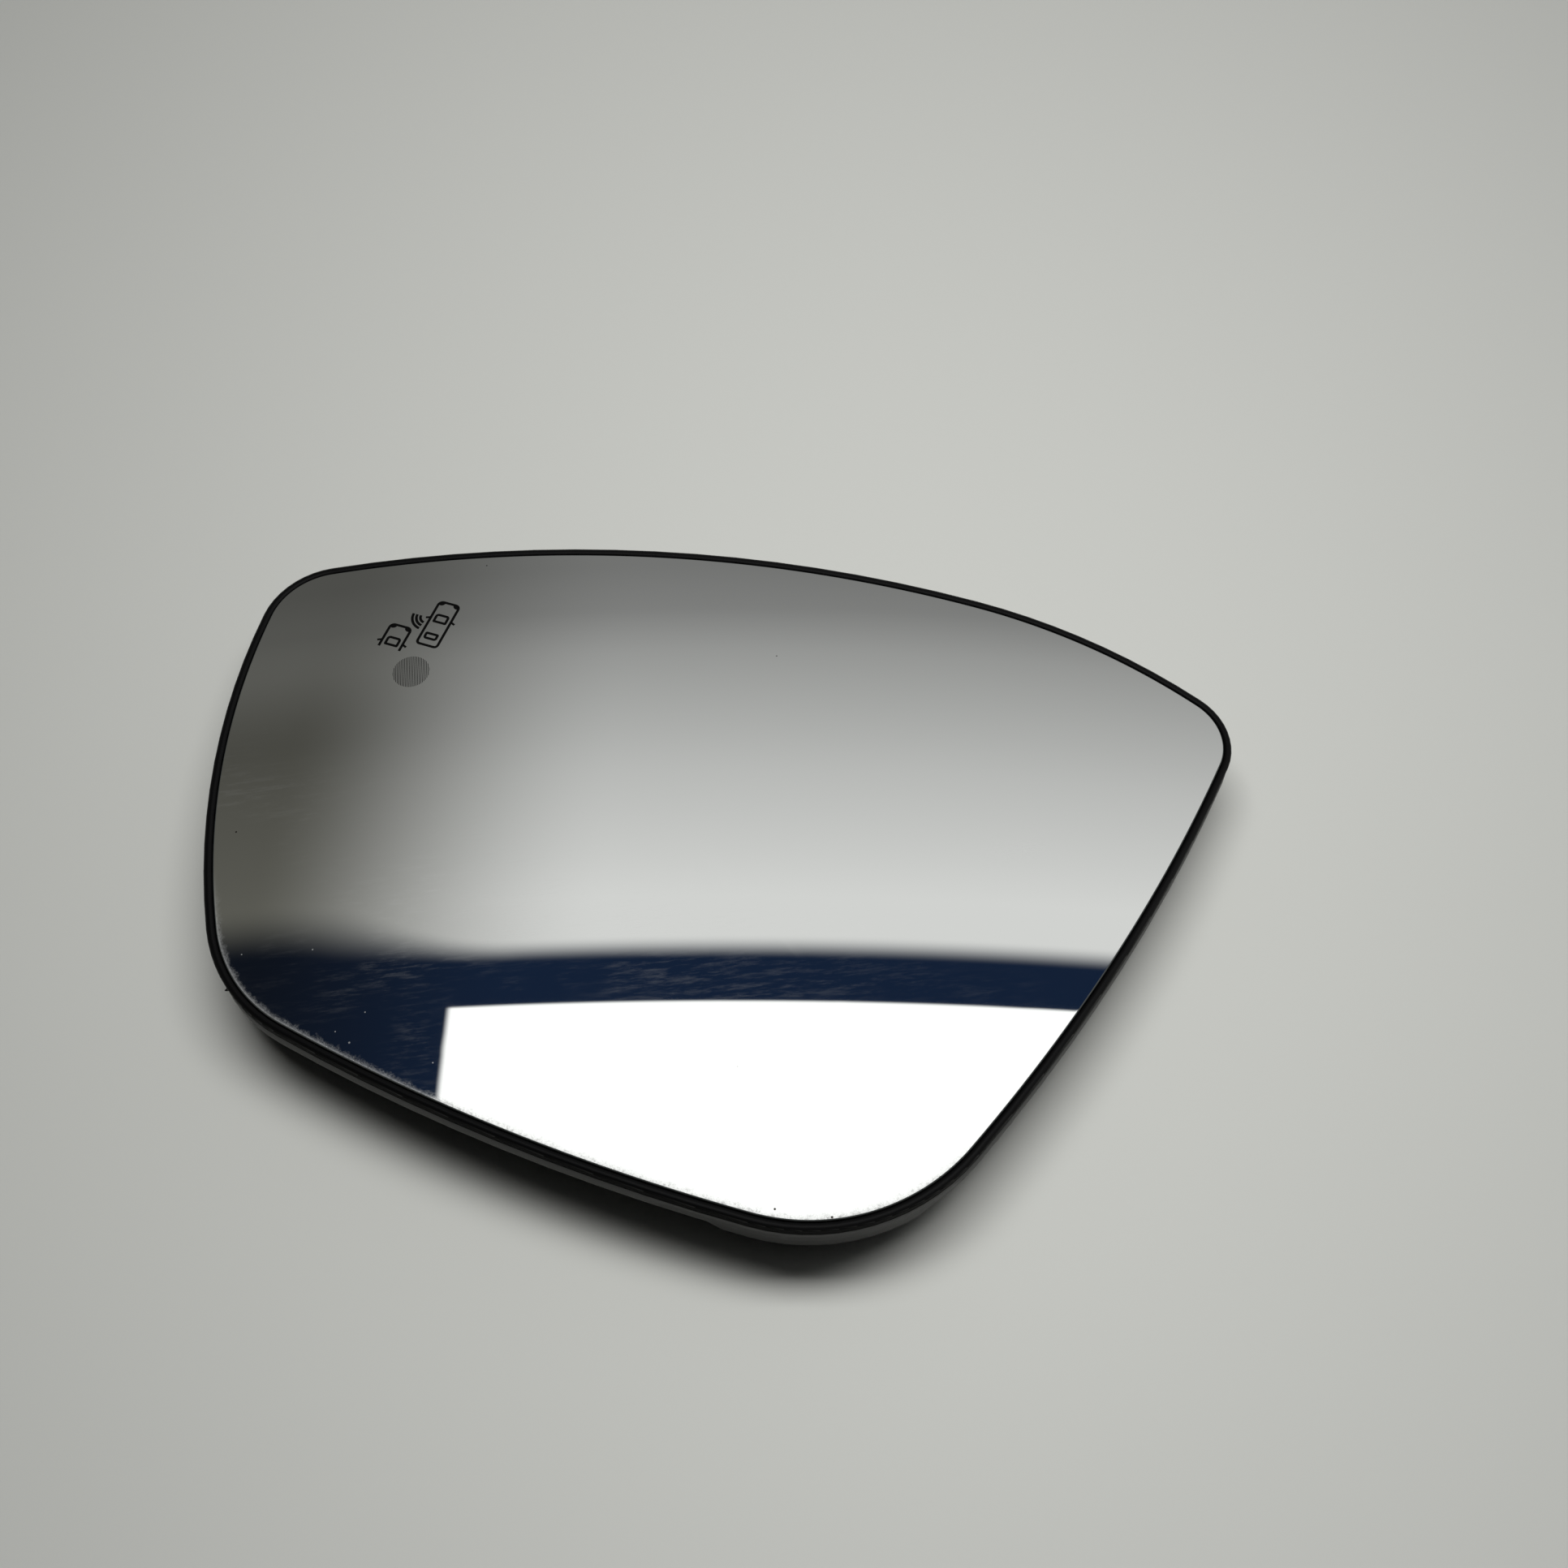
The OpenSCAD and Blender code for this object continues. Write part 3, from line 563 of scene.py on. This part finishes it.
def specks(tree, place, spots):
    """1 at each small spot, given as x, y and radius in millimetres."""
    masks = []
    for x, y, r in spots:
        gap = new_node(tree, "ShaderNodeVectorMath", operation="DISTANCE")
        link(tree, place, gap.inputs[0])
        gap.inputs[1].default_value = on_dome(Vector((x, y)))
        masks.append(fade(tree, gap.outputs["Value"], r * 1.3 * MM, r * 0.6 * MM))
    return strongest(tree, masks)


def patches(tree, place, areas):
    """1 in the middle of long soft areas, given as x, y, length, width and turn in degrees."""
    masks = []
    for x, y, length, width, turn in areas:
        size = (length / 2 * MM, width / 2 * MM, 1)
        fit = fitted(tree, place, size, math.radians(turn), on_dome(Vector((x, y))))
        masks.append(fade(tree, length_of(tree, fit), 1, 0.2))
    return strongest(tree, masks)


PALE_SPECKS = (
    (-49.4, -45.7, 0.14), (-35.3, -53.2, 0.13), (-38.6, -58.0, 0.12), (-35.4, -59.0, 0.17),
    (-44.2, -60.3, 0.18), (-61.0, -50.5, 0.12), (-20.3, -57.6, 0.12), (28.4, -41.2, 0.13),
)
DARK_SPECKS = (
    (-56.2, 41.3, 0.14), (6.5, 39.2, 0.13), (-74.0, -29.2, 0.17), (42.3, -61.4, 0.2),
    (51.4, -59.5, 0.22),
)
SMEARS = ((-33.2, -28.4, 11, 1.3, 19.6), (61.2, 14.1, 13, 5, 30))
SILVER = (0.84, 0.855, 0.85)


def mirror_material():
    """Silvered glass with dried dirt along the lower edge, fine wipe marks and a few specks."""
    m, tree, shader = material("silvered_glass", SILVER, 0.012, 1.0)
    place = own_place(tree)
    split = tree.nodes.new("ShaderNodeSeparateXYZ")
    link(tree, place, split.inputs[0])
    x, y, _ = split.outputs
    rim = new_node(tree, "ShaderNodeAttribute", attribute_name="rim_distance").outputs["Fac"]
    lower = times(tree, fade(tree, y, -0.036, -0.052), fade(tree, x, 0.090, 0.062, 0.25, 1))
    cloud = noise(tree, place, 3600, 5, 0.8)
    patchy = noise(tree, place, 700, 4, 0.6)
    reach = value_node(tree, "MULTIPLY_ADD", patchy, 0.0026, -0.0001)
    reach = value_node(tree, "MAXIMUM", reach, 0.0004)
    near = value_node(tree, "SUBTRACT", 1, value_node(tree, "DIVIDE", rim, reach), clamp=True)
    crust = times(tree, near, fade(tree, cloud, 0.38, 0.62), 0.42)
    film = times(tree, fade(tree, rim, 0.0008, 0.0002), 0.3)
    dirt = times(tree, strongest(tree, (crust, film)), lower)
    lower_half = fade(tree, y, -0.004, -0.03)
    streak = noise(tree, place, 420, 6, 0.7, (2.4, 0.36, 1), math.radians(26))
    blotch = noise(tree, place, 45, 3, 0.5)
    streaks = fade(tree, streak, 0.46, 0.7)
    wipes = times(tree, streaks, fade(tree, blotch, 0.38, 0.62), 0.045, lower_half)
    smears = times(tree, fade(tree, streak, 0.42, 0.6), patches(tree, place, SMEARS), 0.09)
    wipes = strongest(tree, (wipes, smears))
    dust = value_node(tree, "ADD", dirt, wipes, clamp=True)
    dust = strongest(tree, (dust, times(tree, specks(tree, place, PALE_SPECKS), 0.32)))
    color = blend(tree, dust, SILVER, (0.52, 0.52, 0.51))
    grime = fade(tree, noise(tree, place, 1700, 5, 0.75), 0.46, 0.64)
    grime = times(tree, grime, near, 0.62, lower)
    dark = strongest(tree, (grime, specks(tree, place, DARK_SPECKS)))
    link(tree, blend(tree, dark, color, (0.035, 0.03, 0.025)), shader.inputs["Base Color"])
    link(tree, value_node(tree, "SUBTRACT", 1, dust, clamp=True), shader.inputs["Metallic"])
    rough = value_node(tree, "MULTIPLY_ADD", value_node(tree, "POWER", dust, 2.0), 0.6, 0.012)
    link(tree, rough, shader.inputs["Roughness"])
    return m


def heater_material():
    """Black film with a pale printed track that runs to and fro."""
    film = (0.02, 0.02, 0.021)
    m, tree, shader = material("printed_heater_film", film, 0.35)
    lines = new_node(
        tree, "ShaderNodeTexWave", bands_direction="Y", Scale=60.0, Distortion=1.2, Detail=1.0
    )
    link(tree, own_place(tree), lines.inputs["Vector"])
    track = fade(tree, lines.outputs["Fac"], 0.62, 0.7)
    link(tree, blend(tree, track, film, (0.42, 0.42, 0.41)), shader.inputs["Base Color"])
    link(tree, times(tree, track, 0.7), shader.inputs["Metallic"])
    relief(tree, shader, track, 0.5, 0.00002)
    return m


def foam_material(name, color, cell=0.0006):
    """Closed cell foam: small round cells of slightly different greys."""
    m, tree, shader = material(name, color, 0.9)
    cells = new_node(tree, "ShaderNodeTexVoronoi", Scale=1 / cell)
    link(tree, own_place(tree), cells.inputs["Vector"])
    size = cells.outputs["Distance"]
    shades = [tuple(c * share for c in color) for share in (0.5, 1.5)]
    link(tree, blend(tree, size, *shades), shader.inputs["Base Color"])
    relief(tree, shader, size, 0.6, cell / 4)
    return m


def metal_material(name, color, roughness, tarnish):
    """Metal with fine drawing marks and patches of a duller colour."""
    m, tree, shader = material(name, color, roughness, 1.0)
    place = own_place(tree)
    marks = noise(tree, place, 2500, 3, 0.6, (6, 1, 1))
    dull = fade(tree, noise(tree, place, 500, 4, 0.6), 0.42, 0.72, 0, 0.5)
    link(tree, blend(tree, dull, color, tarnish), shader.inputs["Base Color"])
    rough = value_node(tree, "MULTIPLY_ADD", marks, 0.25, roughness - 0.12)
    link(tree, rough, shader.inputs["Roughness"])
    relief(tree, shader, marks, 0.3, 0.00001)
    return m


def board_material():
    """Green lacquered board with paler copper tracks under the lacquer."""
    lacquer = (0.01, 0.075, 0.03)
    m, tree, shader = material("green_board", lacquer, 0.3)
    tracks = new_node(
        tree, "ShaderNodeTexBrick", Scale=260.0, offset=0.5, Color1=(*lacquer, 1),
        Color2=(0.012, 0.09, 0.036, 1), Mortar=(0.03, 0.17, 0.07, 1),
    )
    tracks.inputs["Mortar Size"].default_value = 0.05
    link(tree, own_place(tree), tracks.inputs["Vector"])
    link(tree, tracks.outputs["Color"], shader.inputs["Base Color"])
    relief(tree, shader, tracks.outputs["Fac"], 0.4, 0.00002)
    return m


mirror = mirror_material()
ground_edge = grained("ground_glass_edge", (0.05, 0.055, 0.053), 0.4, size=0.0002)
plate_finishes = [
    grained(
        "satin_black_rim", (0.0025, 0.0025, 0.0027), 0.3, size=0.0006, strength=0.12, shine=0.11
    ),
    # Darker, less shiny copy of the rim's black: painted shade on the band under the crown
    grained(
        "black_band_painted_shade", (0.0010, 0.0010, 0.0011), 0.55, size=0.0005, strength=0.2, shine=0.02
    ),
    # Paler copy of the black plastic: painted light where the skirt faces the bright table
    grained("skirt_painted_light", (0.014, 0.014, 0.0135), 0.5, size=0.0005, strength=0.3),
    grained("grained_black_back", (0.010, 0.010, 0.011), 0.5),
]
print_black = grained(
    "etched_symbol_black", (0.002, 0.002, 0.002), 0.3, size=0.0003, strength=0.05, spread=0.05,
    shine=0.1,
)

make_glass(mirror, ground_edge)
make_plate(plate_finishes)
make_burr(plate_finishes[0])
lay_on_glass("symbol", blind_spot_symbol, print_black)
lay_on_glass("disc", hatched_disc, print_black)

brass = metal_material("brass_strip", (0.72, 0.53, 0.24), 0.32, (0.40, 0.27, 0.12))
tinned = metal_material("tinned_metal", (0.62, 0.62, 0.60), 0.34, (0.36, 0.35, 0.33))
finishes = {
    "heater_film": heater_material(),
    "bonding_foam": foam_material("bonding_foam_grey", (0.03, 0.03, 0.032)),
    "indicator_seal": foam_material("seal_foam_grey", (0.045, 0.045, 0.047), 0.0008),
    "hub_spring_wire": metal_material(
        "spring_steel_wire", (0.56, 0.56, 0.57), 0.28, (0.30, 0.28, 0.26)
    ),
    "heater_terminal_upper": brass,
    "heater_terminal_lower": brass,
    "terminal_rivets": tinned,
    "contact_pins": tinned,
    "indicator_housing": grained("black_housing", (0.012, 0.012, 0.013), 0.42),
    "indicator_cover": grained("dark_grey_cover", (0.035, 0.035, 0.037), 0.5, size=0.0005),
    "light_diffuser": grained("milky_sheet", (0.78, 0.78, 0.76), 0.5, size=0.0003, strength=0.2),
    "circuit_board": board_material(),
    "symbol_led": grained("led_body", (0.80, 0.74, 0.50), 0.35, size=0.0002, strength=0.1),
    "disc_led": grained("disc_led_body", (0.80, 0.74, 0.50), 0.35, size=0.0002, strength=0.1),
    "board_resistors": grained("resistor_body", (0.03, 0.03, 0.032), 0.4, size=0.0002),
    "indicator_screws": metal_material(
        "blackened_screw", (0.16, 0.16, 0.165), 0.36, (0.09, 0.085, 0.08)
    ),
}
for name, finish in finishes.items():
    slots = nodes[name].data.materials
    slots.clear()
    slots.append(finish)


# Studio, turned against the part by STUDIO_TURN

STUDIO_TURN = math.radians(19.6)
TABLE = (0.6, 0.606, 0.572)
# Strength of the fill from the front and from behind
FILL = (0.004, 0.25)


def make_floor():
    """Pale table with a painted pool of light that darkens away from the part, and which fades out
    into the background.
    """
    bm = bmesh.new()
    bmesh.ops.create_grid(bm, x_segments=1, y_segments=1, size=2.5)
    mesh = bpy.data.meshes.new("floor")
    bm.to_mesh(mesh)
    bm.free()
    m, tree, shader = material("pale_table", TABLE, 0.55)
    place = own_place(tree)
    # Painted pool of light: the table's colour is brighter round the part and darker away from it
    lit = fitted(tree, place, (0.385, 0.55, 1), STUDIO_TURN, (0.058, -0.038, 0))
    spread = value_node(tree, "POWER", length_of(tree, lit), 1.5)
    pool_of_light = value_node(tree, "DIVIDE", 1.095, value_node(tree, "ADD", spread, 1.0))
    shown = fade(tree, length_of(tree, place), 0.35, 0.65, 1, 0)
    link(tree, shown, shader.inputs["Alpha"])
    scaled = new_node(tree, "ShaderNodeVectorMath", operation="SCALE")
    scaled.inputs[0].default_value = TABLE
    link(tree, pool_of_light, scaled.inputs["Scale"])
    link(tree, scaled.outputs[0], shader.inputs["Base Color"])
    mesh.materials.append(m)
    floor = bpy.data.objects.new("floor", mesh)
    bpy.context.scene.collection.objects.link(floor)


def within(tree, value, low, high, soft):
    """1 between low and high, with soft ends."""
    rise = fade(tree, value, low - soft, low + soft)
    return times(tree, rise, fade(tree, value, high + soft, high - soft))


def studio_tone(tree, x, y, z):
    """Grey wall and, overhead, a plain softbox inside a dark blue frame, for gloss only."""
    height = value_node(tree, "MAXIMUM", z, 0.02)
    cos_a, sin_a = 0.9419, 0.3358

    def turned(main, other, share):
        run = value_node(tree, "MULTIPLY_ADD", main, cos_a, times(tree, other, share))
        return value_node(tree, "DIVIDE", run, height)

    across = turned(x, y, sin_a)
    ahead = turned(y, x, -sin_a)
    far = value_node(tree, "ABSOLUTE", ahead)
    ramp = tree.nodes.new("ShaderNodeValToRGB")
    reach = 2
    stops = (
        (0.0, 0.64), (0.47, 0.64), (0.52, 0.58), (0.57, 0.53), (0.624, 0.48), (0.677, 0.42),
        (0.737, 0.36), (0.80, 0.30), (0.87, 0.205), (0.95, 0.17), (1.2, 0.17), (2.0, 0.3),
    )
    ramp.color_ramp.elements.remove(ramp.color_ramp.elements[1])
    for i, (at, value) in enumerate(stops):
        e = ramp.color_ramp.elements[0] if i == 0 else ramp.color_ramp.elements.new(at / reach)
        e.position = at / reach
        e.color = (value / 0.85, value / 0.85, value / 0.87, 1)
    link(tree, times(tree, far, 1 / reach), ramp.inputs["Fac"])
    dim = blend(tree, fade(tree, far, 0.68, 0.9), (0.16, 0.157, 0.138), (0.44, 0.436, 0.41))
    side = blend(tree, fade(tree, across, -0.52, -0.14), dim, (1, 1, 1))
    wall = new_node(tree, "ShaderNodeMix", data_type="RGBA", blend_type="MULTIPLY")
    wall.inputs["Factor"].default_value = 1
    link(tree, ramp.outputs["Color"], wall.inputs["A"])
    link(tree, side, wall.inputs["B"])

    limit = fade(tree, across, -0.24, -0.5, 0.4135, 0.454)
    over = value_node(tree, "SUBTRACT", ahead, limit)
    over = times(tree, over, fade(tree, across, -0.22, -0.42, 1, 0.4))
    wide = within(tree, across, -1.0, 0.72, 0.02)
    frame_mask = times(tree, wide, within(tree, over, -0.85, 0, 0.013))
    edge_tones = ((0.005, 0.007, 0.012), (0.008, 0.017, 0.042))
    frame_tone = blend(tree, fade(tree, across, -0.52, -0.2), *edge_tones)
    wide = within(tree, across, -0.29, 0.62, 0.004)
    box_mask = times(tree, wide, within(tree, ahead, -0.35, 0.357, 0.002))
    framed = blend(tree, frame_mask, wall.outputs["Result"], frame_tone)
    return blend(tree, box_mask, framed, (1.24, 1.24, 1.22))


def mixed(tree, factor, first, second):
    """Shader between two shaders."""
    n = tree.nodes.new("ShaderNodeMixShader")
    for source, target in zip((factor, first, second), n.inputs):
        link(tree, source, target)
    return n.outputs[0]


def make_world():
    """Even fill for the object, a plain pale sky for the camera, and the studio for gloss."""
    world = bpy.data.worlds.new("studio")
    bpy.context.scene.world = world
    world.use_nodes = True
    tree = world.node_tree
    tree.nodes.clear()
    split = tree.nodes.new("ShaderNodeSeparateXYZ")
    place = tree.nodes.new("ShaderNodeTexCoord")
    link(tree, place.outputs["Generated"], split.inputs[0])
    x, y, z = split.outputs
    rays = tree.nodes.new("ShaderNodeLightPath").outputs
    fill = new_node(tree, "ShaderNodeBackground", Color=(0.95, 0.98, 1.0, 1))
    from_behind = value_node(tree, "MULTIPLY_ADD", z, 0.5, times(tree, y, 0.85))
    link(tree, fade(tree, from_behind, 0.4, 0.95, *FILL), fill.inputs["Strength"])
    seen = new_node(tree, "ShaderNodeBackground", Color=(0.54, 0.545, 0.53, 1), Strength=1.0)
    reflected = new_node(tree, "ShaderNodeBackground", Strength=1.0)
    link(tree, studio_tone(tree, x, y, z), reflected.inputs["Color"])
    shiny = value_node(
        tree, "ADD", rays["Is Glossy Ray"], rays["Is Transmission Ray"], clamp=True
    )
    light = mixed(tree, shiny, fill.outputs[0], reflected.outputs[0])
    sky = mixed(tree, rays["Is Camera Ray"], light, seen.outputs[0])
    link(tree, sky, tree.nodes.new("ShaderNodeOutputWorld").inputs["Surface"])


def add_panel(name, place, turn, size, energy):
    """Soft panel that faces straight down."""
    light = bpy.data.lights.new(name, "AREA")
    light.shape = "RECTANGLE"
    light.size, light.size_y = size
    light.energy = energy
    lamp = bpy.data.objects.new(name, light)
    lamp.location = place
    lamp.rotation_euler.z = turn
    lamp.visible_glossy = False
    bpy.context.scene.collection.objects.link(lamp)


def make_camera():
    data = bpy.data.cameras.new("camera")
    film, focal_pixels, picture_pixels = 36, 2000, 1932
    data.sensor_width = film
    data.lens = film * focal_pixels / picture_pixels
    camera = bpy.data.objects.new("camera", data)
    right = Vector((0.94193225, 0.33579456, 0.00237513))
    up = Vector((-0.29363388, 0.82019519, 0.49097759))
    back = Vector((0.16291954, -0.46316504, 0.87116897))
    turn = Matrix((right, up, back)).transposed()
    camera.matrix_world = Matrix.Translation((0.0662, -0.12588, 0.27837)) @ turn.to_4x4()
    bpy.context.scene.collection.objects.link(camera)
    bpy.context.scene.camera = camera


make_floor()
make_world()
add_panel("overhead", (0.024, 0.294, 0.9), STUDIO_TURN, (1.05, 0.3), 9.8)
make_camera()
bpy.context.scene.view_settings.view_transform = "Standard"
